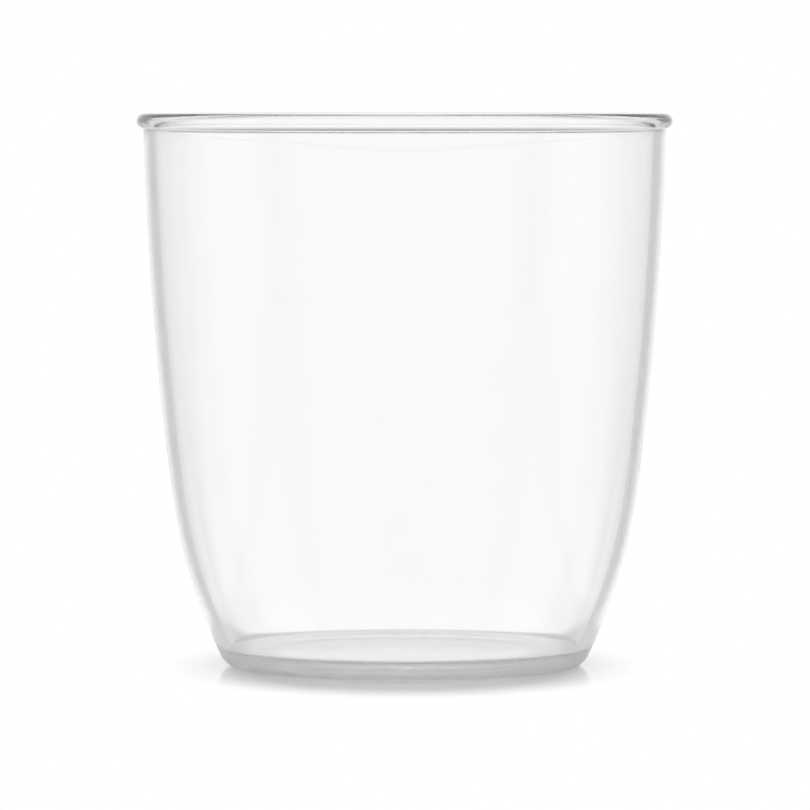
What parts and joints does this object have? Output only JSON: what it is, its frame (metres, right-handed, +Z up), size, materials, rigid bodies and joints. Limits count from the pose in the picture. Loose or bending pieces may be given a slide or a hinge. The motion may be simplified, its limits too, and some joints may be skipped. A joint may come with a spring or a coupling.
{
  "type": "plastic tumbler cup",
  "caption": "Clear plastic tumbler cup with a round bead at the rim, a gently curved tapering wall and a thick flat base.",
  "frame": {"origin": "centre of the foot ring, on the plane that the cup rests on", "axes": "+Z up along the cup's axis, out of its mouth; the cup is round, so +X and +Y are any two directions square to it"},
  "size_m": [0.09, 0.09, 0.093],
  "materials": {
    "clear_plastic": "clear, polished"
  },
  "bodies": {
    "root": {"cup": "clear_plastic"}
  },
  "joints": []
}
